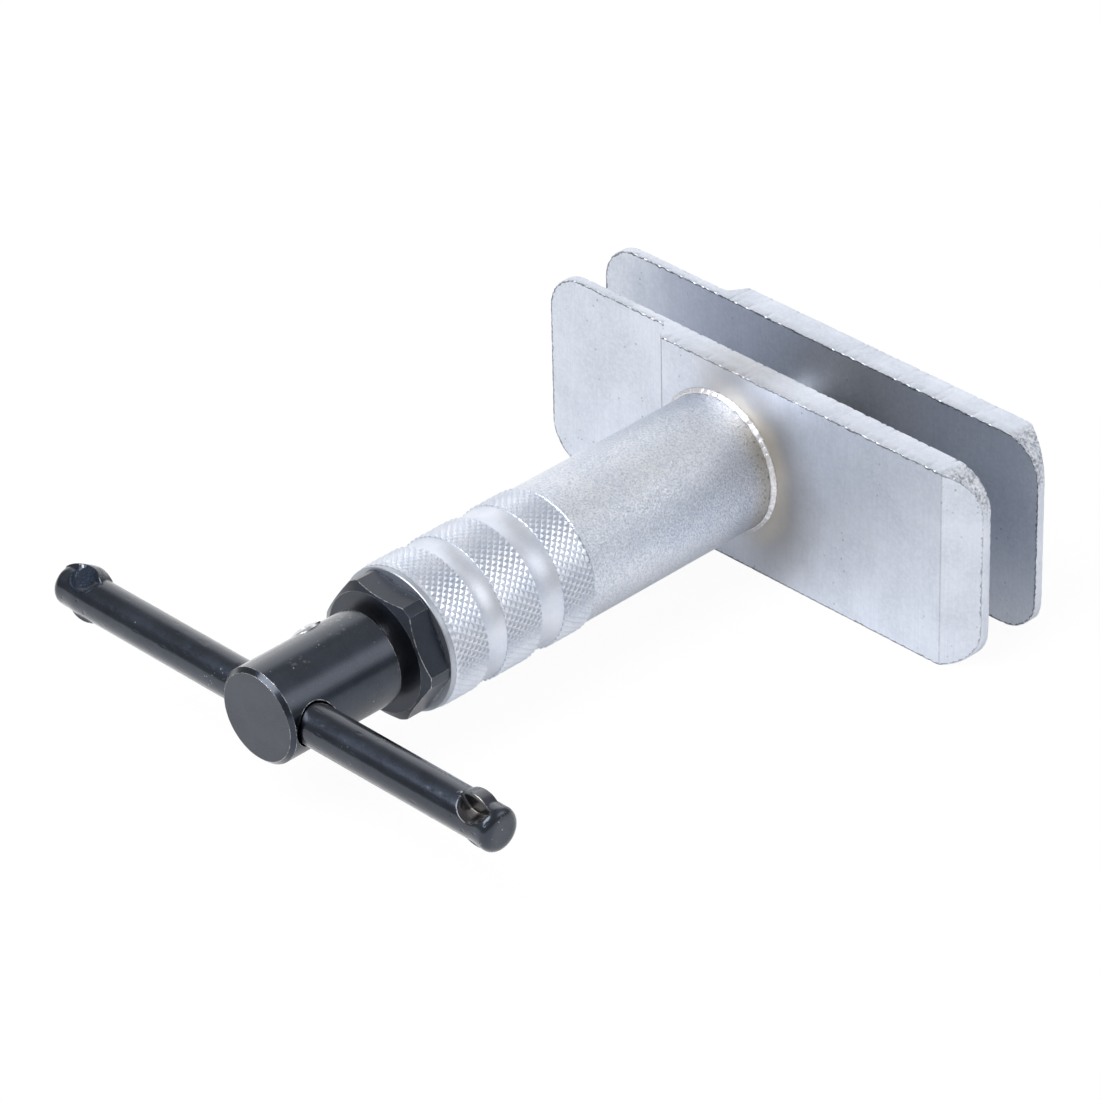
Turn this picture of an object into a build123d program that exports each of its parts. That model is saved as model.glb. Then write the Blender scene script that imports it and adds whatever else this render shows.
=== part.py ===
from build123d import *
import os
from math import radians, sqrt, tan

# Brake caliper piston tool, in millimetres.
# The tool's axis is Y: the drive head is at the rear, towards -Y, and the movable plate presses
# towards +Y. The origin is on the axis, in the movable plate's pressing face. X runs along the
# plates, with the bevelled end towards +X, and Z is up.

# Clearances
seat_gap = 0.02           # around pieces that are pressed, screwed or pinned together
running_gap = 0.05        # radial, around shafts and sliding rods
end_float = 0.1           # along the axis, between turning and still faces
past = 1.0                # how far a cut runs beyond the piece that it cuts

# Plates
plate_length = 135.0
plate_height = 50.5
plate_lift = 0.25         # middle of the plates above the tool's axis
plate_thickness = 7.0
plate_gap = 15.7          # between the two plates as the tool lies
tongue_reach = 58.8       # from the tool's axis to the tongue's end
tongue_length = 37.3      # thin part, up to the foot of the step
tongue_thickness = 2.5
step_run = 2.8
step_foot_radius = 2.0
step_crest_radius = 0.6
bevel_length = 8.5
bevel_edge = 2.1          # thickness left at the bevelled end
corner_radius = 10.0
edge_break = 0.2

# Body
barrel_radius = 17.0
barrel_bore_radius = 13.0
body_length = 57.4        # smooth part, from the fixed plate to the grip
grip_seat_radius = 15.4
joint_chamfer = 0.3       # on both sides of the line between body and grip
weld_leg = 1.0
weld_waist = 0.45         # share of the leg left at the middle of the weld

# Grip, from front to rear
band_lengths = (9.7, 10.55, 9.8)
groove_lengths = (7.0, 5.75)
groove_depth = 0.45
band_radius = 17.2        # root of the knurling
lip_length = 1.3
lip_chamfer = 0.4

# Gland nut
hex_across_flats = 30.0
hex_thickness = 6.75      # with its round washer face
hex_round_radius = 16.6   # the corners are turned down to this
hex_chamfer_angle = 30.0
hex_chamfer = 1.2
washer_face_thickness = 0.5
hex_roll = -4.0           # degrees, as it was tightened
shank_length = 10.0
gland_bush_wall = 2.0
gland_bush_length = 11.5
seal_thickness = 2.0      # across the ring
seal_width = 2.2
seal_groove_width = 2.4
gland_mouth_gap = 0.25

# Spindle
spindle_radius = 6.95
collar_radius = 12.0
collar_length = 4.0
tip_chamfer = 1.0
tip_gap = 2.3             # between spindle and rod when the tool is closed

# Thrust bearing, with rollers that lie like spokes
race_thickness = 2.2
race_edge_gap = 0.2       # rear race in the body's bore
front_race_inset = 0.7    # front race, smaller than the rear one
race_bore_gap = 0.75      # rear race and cage around the spindle
roller_radius = 1.25
roller_length = 3.6
roller_count = 14
roller_circle_radius = 10.0
roller_end_chamfer = 0.2
cage_thickness = 1.5
cage_pocket_gap = 0.12
washer_thickness = 1.2
ring_thickness = 1.2
ring_groove_depth = 0.8
ring_width = 2.6
ring_opening = 40.0       # degrees

# Push rod and its nut
rod_radius = 11.0
rod_bore_radius = 7.5
rod_cap_length = 14.0     # solid front end
rod_seat_depth = 2.0      # in the movable plate
travel_open = 29.8        # from the stored place to the widest gap
travel_close = 15.2       # from the stored place to the closed tool
stop_gap = 1.0            # nut to guide bush when the tool is wide open
nut_flange_length = 12.0
nut_shank_length = 12.0
nut_shank_wall = 2.0
nut_pin_radius = 1.5
nut_pin_length = 3.0
nut_pin_sink = 0.2         # below the rod's surface
guide_bush_length = 20.0
wiper_depth = 3.0
wiper_radius = 15.0
wiper_inset = 0.2         # below the fixed plate's face
wiper_rod_gap = 0.15
key_width = 4.0
key_length = 12.0
key_front_inset = 4.5     # from the guide bush's front end
key_groove_depth = 1.8
key_pocket_depth = 1.5

# Fastening of the movable plate
screw_radius = 4.0
screw_head_radius = 7.5
screw_head_sink = 0.2
screw_land = 0.4
screw_length = 15.0
screw_socket_flats = 5.0
screw_socket_depth = 3.0
dowel_radius = 1.5
dowel_circle_radius = 7.6
dowel_length = 7.0
dowel_plate_depth = 2.4

# Drive head
neck_gap = 2.5            # between nut and head
head_radius = 11.5
head_length = 32.2
head_end_chamfer = 1.0
head_front_chamfer = 0.5
head_socket_depth = 17.0
cross_hole_radius = 5.4
cross_hole_from_end = 6.9
cross_hole_chamfer = 0.4
lock_from_front = 10.1
lock_angle = 137.0        # degrees from +X towards +Z
lock_head_radius = 4.0
lock_head_thickness = 1.5
lock_head_proud = 0.85
lock_crown_radius = 9.3
lock_radius = 2.5
lock_dimple_depth = 1.0
lock_slot_width = 1.0
lock_slot_depth = 0.8
lock_slot_roll = 60.0     # degrees

# T-bar
bar_radius = 5.0
bar_length = 138.4
bar_shift = -0.75         # it lies a little to one side
bar_end_radius = 2.0
ear_rolls = (60.0, 78.0)  # at the left and the right end, degrees from +Y towards +Z
upper_ears = ((-63.4, 6.4, 9.0), (60.6, 6.15, 6.2))    # middle along X, reach, arc's radius
lower_ears = ((-60.8, 5.5, 10.0), (62.4, 5.55, 6.2))
ear_root = 3.8            # height of the ear's ends above the bar's axis
ear_back = 1.6            # from the bar's middle plane to the ear's back
ear_front = 2.6
tool_middles = (-62.4, 61.0)  # along X, of the tools that pressed the ears up
punch_radius = 4.3        # left end: round and flat
punch_lean = 62.0         # degrees from the ear's direction
punch_side = 2.1          # from the bar's axis, across the punch
punch_stop = 4.35         # from the bar's axis to the flat that it left
chisel_radius = 6.1       # right end
chisel_edge = (0.9, 1.75)  # the cut's deepest line, before and above the bar's axis
chisel_tilt = 18.9        # degrees
tool_length = 7.0

# Stations along Y, from the pressing face rearwards
pressing_face = 0.0
mover_inner = pressing_face - plate_thickness
fixed_inner = mover_inner - plate_gap
fixed_outer = fixed_inner - plate_thickness
shoulder = fixed_outer - body_length
grip_length = sum(band_lengths) + sum(groove_lengths) + lip_length
barrel_end = shoulder - grip_length
gland_outer = barrel_end - hex_thickness
head_front = gland_outer - neck_gap
head_end = head_front - head_length
cross_hole_y = head_end + cross_hole_from_end
socket_floor = head_front - head_socket_depth
lock_y = head_front - lock_from_front

gland_inner = barrel_end + shank_length
rear_race_face = gland_inner + race_thickness
front_race_face = rear_race_face + 2 * (roller_radius + running_gap)
collar_rear = front_race_face + race_thickness
collar_front = collar_rear + collar_length
washer_rear = collar_front + end_float
washer_front = washer_rear + washer_thickness
ring_front = washer_front + ring_thickness
roller_y = (rear_race_face + front_race_face) / 2

bush_front = fixed_inner - wiper_depth
bush_rear = bush_front - guide_bush_length
nut_face = bush_rear - stop_gap - travel_open
nut_rear = nut_face - nut_flange_length
nut_front = nut_face + nut_shank_length
rod_front = mover_inner + rod_seat_depth
rod_bore_floor = rod_front - rod_cap_length
spindle_front = rod_bore_floor - travel_close - tip_gap
key_front = bush_front - key_front_inset
key_rear = key_front - key_length

# Radii that follow from their partners
shaft_bore_radius = spindle_radius + running_gap
gland_bush_radius = shaft_bore_radius + gland_bush_wall
seal_outer_radius = shaft_bore_radius + seal_thickness
rear_race_bore = spindle_radius + race_bore_gap
rear_race_radius = barrel_bore_radius - race_edge_gap
front_race_radius = rear_race_radius - front_race_inset
nut_shank_radius = shaft_bore_radius + nut_shank_wall
key_inner_radius = rod_radius - key_groove_depth + running_gap
key_outer_radius = barrel_bore_radius + key_pocket_depth - seat_gap


def turned(*outline):
    """Solid turned about the tool's axis from its outline, given as (radius, y) points."""
    return revolve(make_face(Polyline(*outline, close=True)), axis=Axis.Y)


def ring(inner, outer, rear, front):
    """Plain ring or tube about the tool's axis."""
    return turned((inner, rear), (outer, rear), (outer, front), (inner, front))


def rod(radius, rear, front):
    """Plain round bar on the tool's axis."""
    return Pos(0, (rear + front) / 2, 0) * Rot(90, 0, 0) * Cylinder(radius, front - rear)


def prism(outline, rear, front):
    """Straight body along Y from an outline drawn in X and Z."""
    return extrude(Plane.XZ.offset(-front) * outline, amount=front - rear)


def radial(shape, y, angle):
    """Stand a shape, modelled upright on Z, on the tool's axis at y, leaning to an angle from +X."""
    return Pos(0, y, 0) * Rot(0, 90 - angle, 0) * shape


def plate():
    """Stepped and bevelled plate: inner face at y = 0, thick middle up to +Y."""
    tongue_end = -tongue_reach
    step_foot = tongue_end + tongue_length
    bevel_end = tongue_end + plate_length
    bevel_start = bevel_end - bevel_length
    outline = make_face(Polyline(
        (tongue_end, 0),
        (bevel_end, 0),
        (bevel_end, bevel_edge),
        (bevel_start, plate_thickness),
        (step_foot + step_run, plate_thickness),
        (step_foot, tongue_thickness),
        (tongue_end, tongue_thickness),
        close=True,
    ))
    slab = Pos(0, 0, -plate_height / 2) * extrude(outline, amount=plate_height)
    foot = slab.edges().filter_by(Axis.Z).sort_by_distance((step_foot, tongue_thickness, 0))[0]
    slab = fillet(foot, step_foot_radius)
    crest_x = step_foot + step_run
    crest = slab.edges().filter_by(Axis.Z).sort_by_distance((crest_x, plate_thickness, 0))[0]
    slab = fillet(crest, step_crest_radius)
    blank = RectangleRounded(plate_length, plate_height, corner_radius)
    blank = prism(Pos(bevel_end - plate_length / 2, 0) * blank, -past, plate_thickness + past)
    slab &= blank
    inner_rim = slab.faces().sort_by(Axis.Y)[0].outer_wire().edges()
    slab = chamfer(inner_rim, edge_break)
    land = slab.faces().filter_by(Axis.Y).sort_by(Axis.Y)[-1]
    ends = land.edges().filter_by(Axis.X)
    return Pos(0, 0, plate_lift) * chamfer(ends, edge_break)


def fixed_plate():
    body = Pos(0, fixed_inner, 0) * mirror(plate(), Plane.XZ)
    body -= rod(barrel_bore_radius, fixed_outer - past, fixed_inner + past)
    return body - rod(wiper_radius, bush_front, fixed_inner + past)


def movable_plate():
    body = Pos(0, mover_inner, 0) * plate()
    body -= rod(rod_radius + seat_gap, mover_inner - past, rod_front)
    body -= screw_shape(seat_gap)
    for side in (-1, 1):
        body -= Pos(side * dowel_circle_radius, 0, 0) * dowel_shape(seat_gap)
    return body


def screw_shape(grow):
    """Outline body of the countersunk screw, grown for its hole."""
    top = pressing_face - screw_head_sink
    land = top - screw_land
    cone_foot = land - (screw_head_radius - screw_radius)
    above = pressing_face + past if grow else top
    return turned(
        (0, top - screw_length - grow),
        (screw_radius + grow, top - screw_length - grow),
        (screw_radius + grow, cone_foot),
        (screw_head_radius + grow, land),
        (screw_head_radius + grow, above),
        (0, above),
    )


def plate_screw():
    top = pressing_face - screw_head_sink
    socket = RegularPolygon(screw_socket_flats / 2, 6, major_radius=False)
    return screw_shape(0) - prism(socket, top - screw_socket_depth, top + past)


def dowel_shape(grow):
    front = rod_front + dowel_plate_depth
    return rod(dowel_radius + grow, front - dowel_length - grow, front + grow)


def plate_dowels():
    return Compound([Pos(side * dowel_circle_radius, 0, 0) * dowel_shape(0) for side in (-1, 1)])


def weld_bead():
    """Narrow fillet weld, slightly hollow, in the corner between plate and body."""
    inner = barrel_radius + seat_gap
    front = fixed_outer - seat_gap
    toe = (inner + weld_leg, front)
    root = (inner, front)
    heel = (inner, front - weld_leg)
    hollow = (inner + weld_waist * weld_leg, front - weld_waist * weld_leg)
    return turned(root, toe, hollow, heel)


def key_slot(low, high, front, rear, side_gap):
    """Block through the underside of the bore, for the key, its pocket and its groove."""
    width = key_width + 2 * side_gap
    return Pos(0, (front + rear) / 2, -(low + high) / 2) * Box(width, front - rear, high - low)


def barrel():
    body = turned(
        (barrel_bore_radius, barrel_end),
        (grip_seat_radius, barrel_end),
        (grip_seat_radius, shoulder),
        (barrel_radius - joint_chamfer, shoulder),
        (barrel_radius, shoulder + joint_chamfer),
        (barrel_radius, fixed_outer),
        (barrel_bore_radius, fixed_outer),
    )
    groove_radius = barrel_bore_radius + ring_groove_depth
    body -= ring(barrel_bore_radius - past, groove_radius, washer_front, ring_front)
    pocket_radius = barrel_bore_radius + key_pocket_depth
    return body - key_slot(barrel_bore_radius - past, pocket_radius, key_front, key_rear, seat_gap)


def grip_sleeve():
    """Three bands for the knurling, with a shallow hollow groove after each of the first two."""
    inner = grip_seat_radius + seat_gap
    station = shoulder
    start = (inner, station)
    rim = (band_radius - joint_chamfer, station)
    corner = (band_radius, station - joint_chamfer)
    outline = Line(start, rim) + Line(rim, corner)
    last = corner
    for band, groove in zip(band_lengths, groove_lengths):
        band_end = (band_radius, station - band)
        bottom = (band_radius - groove_depth, station - band - groove / 2)
        groove_end = (band_radius, station - band - groove)
        outline += Line(last, band_end)
        outline += ThreePointArc(band_end, bottom, groove_end)
        station -= band + groove
        last = groove_end
    lip_edge = (band_radius, barrel_end + lip_chamfer)
    lip_end = (band_radius - lip_chamfer, barrel_end)
    inner_end = (inner, barrel_end)
    outline += Line(last, lip_edge)
    outline += Line(lip_edge, lip_end) + Line(lip_end, inner_end) + Line(inner_end, start)
    return revolve(make_face(outline), axis=Axis.Y)


def gland_nut():
    """Hexagon with turned corners and a washer face, a shank in the body's bore, and room for bush and ring."""
    hexagon = RegularPolygon(hex_across_flats / 2, 6, major_radius=False, rotation=hex_roll)
    washer_face = barrel_end - washer_face_thickness
    head = prism(hexagon, gland_outer, washer_face)
    slope = 1 / tan(radians(hex_chamfer_angle))
    head &= turned(
        (0, gland_outer),
        (hex_round_radius - hex_chamfer * slope, gland_outer),
        (hex_round_radius, gland_outer + hex_chamfer),
        (hex_round_radius, washer_face),
        (0, washer_face),
    )
    head += rod(hex_round_radius, washer_face, barrel_end)
    body = head + rod(barrel_bore_radius - seat_gap, barrel_end, gland_inner)
    body -= rod(shaft_bore_radius + gland_mouth_gap, gland_outer - past, gland_inner + past)
    body -= rod(gland_bush_radius + seat_gap, gland_inner - gland_bush_length, gland_inner + past)
    rear, front = seal_groove()
    return body - rod(seal_outer_radius + seat_gap, rear, front)


def seal_groove():
    """Rear and front of the groove, midway between the bush and the nut's outer face."""
    middle = (gland_outer + gland_inner - gland_bush_length) / 2
    return middle - seal_groove_width / 2, middle + seal_groove_width / 2


def gland_bush():
    rear = gland_inner - gland_bush_length
    return ring(shaft_bore_radius, gland_bush_radius, rear, gland_inner)


def gland_seal():
    middle = sum(seal_groove()) / 2
    inner = shaft_bore_radius + running_gap
    return ring(inner, seal_outer_radius, middle - seal_width / 2, middle + seal_width / 2)


def thrust_race_rear():
    return ring(rear_race_bore, rear_race_radius, gland_inner, rear_race_face)


def thrust_race_front():
    return ring(spindle_radius + seat_gap, front_race_radius, front_race_face, collar_rear)


def spokes(shape):
    """Copies of one shape, modelled upright on Z, at every roller's place."""
    return [radial(shape, roller_y, 360 * index / roller_count) for index in range(roller_count)]


def thrust_rollers():
    roller = Cylinder(roller_radius, roller_length)
    roller = chamfer(roller.edges().filter_by(GeomType.CIRCLE), roller_end_chamfer)
    return Compound(spokes(Pos(0, 0, roller_circle_radius) * roller))


def roller_cage():
    half = cage_thickness / 2
    cage = ring(rear_race_bore, front_race_radius, roller_y - half, roller_y + half)
    width = 2 * (roller_radius + cage_pocket_gap)
    length = roller_length + 2 * cage_pocket_gap
    pocket = Pos(0, 0, roller_circle_radius) * Box(width, 2 * cage_thickness, length)
    return cage - spokes(pocket)


def collar_washer():
    outer = barrel_bore_radius - seat_gap
    return ring(rod_bore_radius, outer, washer_rear, washer_front)


def retaining_ring():
    outer = barrel_bore_radius + ring_groove_depth - seat_gap
    full = ring(outer - ring_width, outer, washer_front + seat_gap, ring_front - seat_gap)
    half_width = outer * tan(radians(ring_opening / 2))
    gap = make_face(Polyline((0, 0), (half_width, outer), (-half_width, outer), close=True))
    return full - prism(gap, washer_front - past, ring_front + past)


def spindle():
    body = turned(
        (0, socket_floor),
        (spindle_radius, socket_floor),
        (spindle_radius, collar_rear),
        (collar_radius, collar_rear),
        (collar_radius, collar_front),
        (spindle_radius, collar_front),
        (spindle_radius, spindle_front - tip_chamfer),
        (spindle_radius - tip_chamfer, spindle_front),
        (0, spindle_front),
    )
    floor = spindle_radius - lock_dimple_depth
    dimple = Pos(0, 0, floor) * Cylinder(lock_radius + seat_gap, head_radius, align=STANDING)
    return body - radial(dimple, lock_y, lock_angle)


def spindle_nut():
    """Threaded bronze nut: a flange that runs in the body's bore, and a shank in the rod."""
    body = turned(
        (shaft_bore_radius, nut_rear),
        (barrel_bore_radius - running_gap, nut_rear),
        (barrel_bore_radius - running_gap, nut_face),
        (nut_shank_radius, nut_face),
        (nut_shank_radius, nut_front),
        (shaft_bore_radius, nut_front),
    )
    return body - nut_pin_shapes(seat_gap)


def nut_pin_shapes(grow):
    """Two radial pins through the rod's wall and into the nut's shank."""
    top = rod_radius - nut_pin_sink
    foot = top - nut_pin_length - grow
    length = rod_radius if grow else nut_pin_length
    pin = Pos(0, 0, foot) * Cylinder(nut_pin_radius + grow, length, align=STANDING)
    y = nut_face + nut_shank_length / 2
    return [radial(pin, y, angle) for angle in (0, 180)]


def nut_pins():
    return Compound(nut_pin_shapes(0))


def push_rod():
    body = turned(
        (0, rod_bore_floor),
        (rod_bore_radius, rod_bore_floor),
        (rod_bore_radius, nut_front + end_float),
        (nut_shank_radius + seat_gap, nut_front + end_float),
        (nut_shank_radius + seat_gap, nut_face),
        (rod_radius, nut_face),
        (rod_radius, rod_front),
        (0, rod_front),
    )
    body -= nut_pin_shapes(seat_gap)
    body -= screw_shape(seat_gap)
    for side in (-1, 1):
        body -= Pos(side * dowel_circle_radius, 0, 0) * dowel_shape(seat_gap)
    low = rod_radius - key_groove_depth
    groove_front = key_front + travel_close + end_float
    groove_rear = key_rear - travel_open - end_float
    return body - key_slot(low, rod_radius + past, groove_front, groove_rear, running_gap)


def guide_bush():
    outer = barrel_bore_radius - seat_gap
    body = ring(rod_radius + running_gap, outer, bush_rear, bush_front)
    return body - key_slot(rod_radius - past, outer + past, key_front, bush_rear - past, seat_gap)


def guide_key():
    return key_slot(key_inner_radius, key_outer_radius, key_front, key_rear, 0)


def rod_wiper():
    inner = rod_radius + wiper_rod_gap
    return ring(inner, wiper_radius - seat_gap, bush_front, fixed_inner - wiper_inset)


def drive_head():
    body = turned(
        (0, head_end),
        (head_radius - head_end_chamfer, head_end),
        (head_radius, head_end + head_end_chamfer),
        (head_radius, head_front - head_front_chamfer),
        (head_radius - head_front_chamfer, head_front),
        (0, head_front),
    )
    body -= rod(spindle_radius + seat_gap, socket_floor, head_front + past)
    hole = Cylinder(cross_hole_radius, 2 * (head_radius + past))
    mouth = head_radius - cross_hole_chamfer
    depth = cross_hole_chamfer + past
    flare = Cone(cross_hole_radius, cross_hole_radius + depth, depth, align=STANDING)
    for angle in (0, 180):
        body -= radial(Pos(0, 0, mouth) * flare, cross_hole_y, angle)
    body -= radial(hole, cross_hole_y, 0)
    return body - radial(lock_shape(seat_gap), lock_y, lock_angle)


def lock_shape(grow):
    """The head's locking screw, upright on Z; grown, it is its hole and spot face."""
    seat = head_radius + lock_head_proud - lock_head_thickness
    foot = spindle_radius - lock_dimple_depth
    shank = Pos(0, 0, foot) * Cylinder(lock_radius + grow, seat - foot, align=STANDING)
    top_length = lock_head_thickness + head_radius if grow else lock_head_thickness
    cap = Pos(0, 0, seat) * Cylinder(lock_head_radius + grow, top_length, align=STANDING)
    if not grow:
        crown = head_radius + lock_head_proud
        cap &= Pos(0, 0, crown - lock_crown_radius) * Sphere(lock_crown_radius)
    return shank + cap


def head_screw():
    top = head_radius + lock_head_proud
    slot = Box(lock_slot_width, 2 * (lock_head_radius + past), 2 * lock_slot_depth)
    return radial(lock_shape(0) - Pos(0, 0, top) * Rot(0, 0, lock_slot_roll) * slot, lock_y, lock_angle)


def swaged_ear(reach, arc_radius):
    """Ear that stands up along Z from a bar along X, with its front towards -Y."""
    drop = arc_radius - (reach - ear_root)
    half = sqrt(arc_radius**2 - drop**2)
    top = ThreePointArc((-half, ear_root), (0, reach), (half, ear_root))
    outline = make_face(top + Polyline((half, ear_root), (half, 0), (-half, 0), (-half, ear_root)))
    return extrude(Plane.XZ.offset(-ear_back) * outline, amount=ear_back + ear_front)


def punch():
    """Round punch whose flat end leaves a shallow flat in front of an ear."""
    body = Cylinder(punch_radius, tool_length, align=STANDING)
    return Rot(punch_lean, 0, 0) * Pos(0, punch_side, punch_stop) * body


def chisel():
    """Round chisel on edge, which cuts deep in front of an ear; its flat side is the ear's front."""
    forward, up = chisel_edge
    disc = Cylinder(chisel_radius, tool_length, align=STANDING)
    disc = Pos(0, 0, chisel_radius) * Rot(90, 0, 0) * disc
    return Pos(0, -forward, up) * Rot(chisel_tilt, 0, 0) * disc


def t_bar():
    """Round bar with rounded ends; at each end two ears stand on opposite sides."""
    bar = Pos(bar_shift, 0, 0) * Rot(0, 90, 0) * Cylinder(bar_radius, bar_length)
    bar = fillet(bar.edges().filter_by(GeomType.CIRCLE), bar_end_radius)
    ends = zip(ear_rolls, tool_middles, (punch(), chisel()), upper_ears, lower_ears)
    for roll, tool_middle, tool, upper, lower in ends:
        for turn, (ear_middle, reach, arc_radius) in ((0, upper), (180, lower)):
            facing = Rot(roll - 90 + turn, 0, 0)
            bar += Pos(ear_middle, 0, 0) * facing * swaged_ear(reach, arc_radius)
            bar -= Pos(tool_middle, 0, 0) * facing * tool
    return Pos(0, cross_hole_y, 0) * bar


STANDING = (Align.CENTER, Align.CENTER, Align.MIN)

PIECES = (
    fixed_plate, weld_bead, barrel, grip_sleeve, gland_nut, gland_bush, gland_seal,
    guide_bush, guide_key, rod_wiper, collar_washer, retaining_ring, thrust_race_rear,
    roller_cage, thrust_rollers, spindle, thrust_race_front, drive_head, head_screw,
    spindle_nut, nut_pins, push_rod, movable_plate, plate_screw, plate_dowels, t_bar,
)

os.makedirs("parts", exist_ok=True)
for piece in PIECES:
    export_step(piece(), f"parts/{piece.__name__}.step")
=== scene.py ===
from math import acos, asin, cos, degrees, hypot, pi, radians, sin, sqrt, tan

import bmesh
import bpy
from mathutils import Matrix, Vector, noise
from mathutils.geometry import delaunay_2d_cdt


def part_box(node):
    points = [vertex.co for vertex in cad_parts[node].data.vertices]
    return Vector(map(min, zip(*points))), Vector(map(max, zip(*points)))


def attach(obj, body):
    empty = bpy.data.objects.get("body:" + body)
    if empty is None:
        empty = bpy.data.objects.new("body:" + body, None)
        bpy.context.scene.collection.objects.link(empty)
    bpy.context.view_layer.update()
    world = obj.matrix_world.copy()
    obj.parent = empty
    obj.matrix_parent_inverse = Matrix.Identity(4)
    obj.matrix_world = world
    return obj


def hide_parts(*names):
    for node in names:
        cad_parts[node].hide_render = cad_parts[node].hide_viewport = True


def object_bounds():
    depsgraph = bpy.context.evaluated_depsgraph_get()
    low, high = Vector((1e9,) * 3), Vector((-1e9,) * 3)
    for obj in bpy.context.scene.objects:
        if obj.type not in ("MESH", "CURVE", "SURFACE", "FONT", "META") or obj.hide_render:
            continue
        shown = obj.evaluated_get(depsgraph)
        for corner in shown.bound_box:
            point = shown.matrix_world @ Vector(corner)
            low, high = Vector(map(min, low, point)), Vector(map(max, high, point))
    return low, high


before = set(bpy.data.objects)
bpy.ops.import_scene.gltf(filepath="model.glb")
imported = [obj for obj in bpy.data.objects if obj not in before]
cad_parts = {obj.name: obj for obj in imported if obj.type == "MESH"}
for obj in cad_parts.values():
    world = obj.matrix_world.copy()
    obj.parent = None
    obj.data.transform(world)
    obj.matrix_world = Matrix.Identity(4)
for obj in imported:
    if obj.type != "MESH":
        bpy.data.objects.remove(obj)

MM = 0.001
cad_low, cad_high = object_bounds()


# Places taken from the frame

GRIP_LOW, GRIP_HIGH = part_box("grip_sleeve")
BARREL_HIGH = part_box("barrel")[1]
FIXED_LOW, FIXED_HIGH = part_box("fixed_plate")
MOVER_LOW, MOVER_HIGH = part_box("movable_plate")
BAR_LOW, BAR_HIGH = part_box("t_bar")
FLOOR_HEIGHT = cad_low.z

GRIP_FRONT = GRIP_HIGH.y
GRIP_REAR = GRIP_LOW.y
BARREL_RADIUS = BARREL_HIGH.x
WELD_STATION = BARREL_HIGH.y
BAR_STATION = (BAR_LOW.y + BAR_HIGH.y) / 2


# The grip's own sizes

KNURL_ROOT = GRIP_HIGH.x + 0.02 * MM
KNURL_DEPTH = 0.36 * MM
KNURL_LAND = 0.26
KNURL_RUNOUT = 1.8 * MM
KNURL_STARTS = (62, 58)
KNURL_LEADS = (0.41 / MM, -0.539 / MM)
KNURL_RUNOUT_START = 1.2 * MM
KNURL_LOWEST = 0.25
KNURL_MARGIN = 1.5 * MM
GRIP_TURNS = 180
GRIP_BORE = 15.42 * MM
BANDS = (9.7 * MM, 10.55 * MM, 9.8 * MM)
GROOVES = (7.0 * MM, 5.75 * MM)
GROOVE_DEPTH = 0.45 * MM
GROOVE_RINGS = 14
LIP_CHAMFER = 0.2 * MM
JOINT_CHAMFER = 0.15 * MM
JOINT_GAP = 0.40 * MM


# The plates' own sizes: height above the inner face at places along X, in mm

TONGUE = 2.5
THICK = 7.0
STEP_FOOT = (-21.5, 2.5, 2.0)
STEP_CREST = (-18.7, 7.0, 1.3)
BEVEL_START = 67.7
BEVEL_EDGE = 2.1
CORNER_RADIUS = 10.0
HOLE_SIDES = 72
OUTLINE_STEP = 0.5
SEAM_CLEARANCE = 0.12
CORNER_STEPS = 30
SIDE_STEPS = 50
PLATE_SHARP = 26.0

# The edge's rows: inset, drop, and the share of the wear across and down that each takes

EDGE_ROWS = ((0.55, 0.0, 0.0, 0.0), (0.20, 0.0, 0.55, 0.0), (0.06, 0.05, 1.0, 0.7), (0.0, 0.18, 0.8, 1.0))
EDGE_MIDDLES = (0.35, 0.65)


def mesh_piece(name, vertices, faces, smooth=True):
    """A new mesh object in the row frame."""
    mesh = bpy.data.meshes.new(name)
    mesh.from_pydata(vertices, [], faces)
    mesh.validate()
    mesh.update()
    mesh.polygons.foreach_set("use_smooth", [smooth] * len(mesh.polygons))
    piece = bpy.data.objects.new(name, mesh)
    bpy.context.scene.collection.objects.link(piece)
    return piece


def face_outwards(piece):
    """Turns every face's front outwards, and joins vertices that lie on each other."""
    shape = bmesh.new()
    shape.from_mesh(piece.data)
    bmesh.ops.remove_doubles(shape, verts=shape.verts, dist=0.000001)
    bmesh.ops.recalc_face_normals(shape, faces=shape.faces)
    shape.to_mesh(piece.data)
    shape.free()


def grid_faces(rows, columns, first=0, close_rows=False):
    """Quads of a grid whose columns close round."""
    faces = []
    for row in range(rows if close_rows else rows - 1):
        after = (row + 1) % rows
        for column in range(columns):
            beside = (column + 1) % columns
            faces.append(tuple(first + r * columns + c for r, c in (
                (row, column), (row, beside), (after, beside), (after, column))))
    return faces


def ease(value, low, high):
    """0 below low, 1 above high, smooth between them."""
    share = min(max((value - low) / (high - low), 0.0), 1.0)
    return share * share * (3 - 2 * share)


# Node helpers

def wire(tree, socket, value):
    """Links a socket to another node's, or sets its constant."""
    if isinstance(value, bpy.types.NodeSocket):
        tree.links.new(value, socket)
    else:
        socket.default_value = value


def shader_node(tree, kind, inputs=None, **settings):
    """A new node with its settings and inputs."""
    node = tree.nodes.new(kind)
    for key, value in settings.items():
        setattr(node, key, value)
    for key, value in (inputs or {}).items():
        wire(tree, node.inputs[key], value)
    return node


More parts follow.
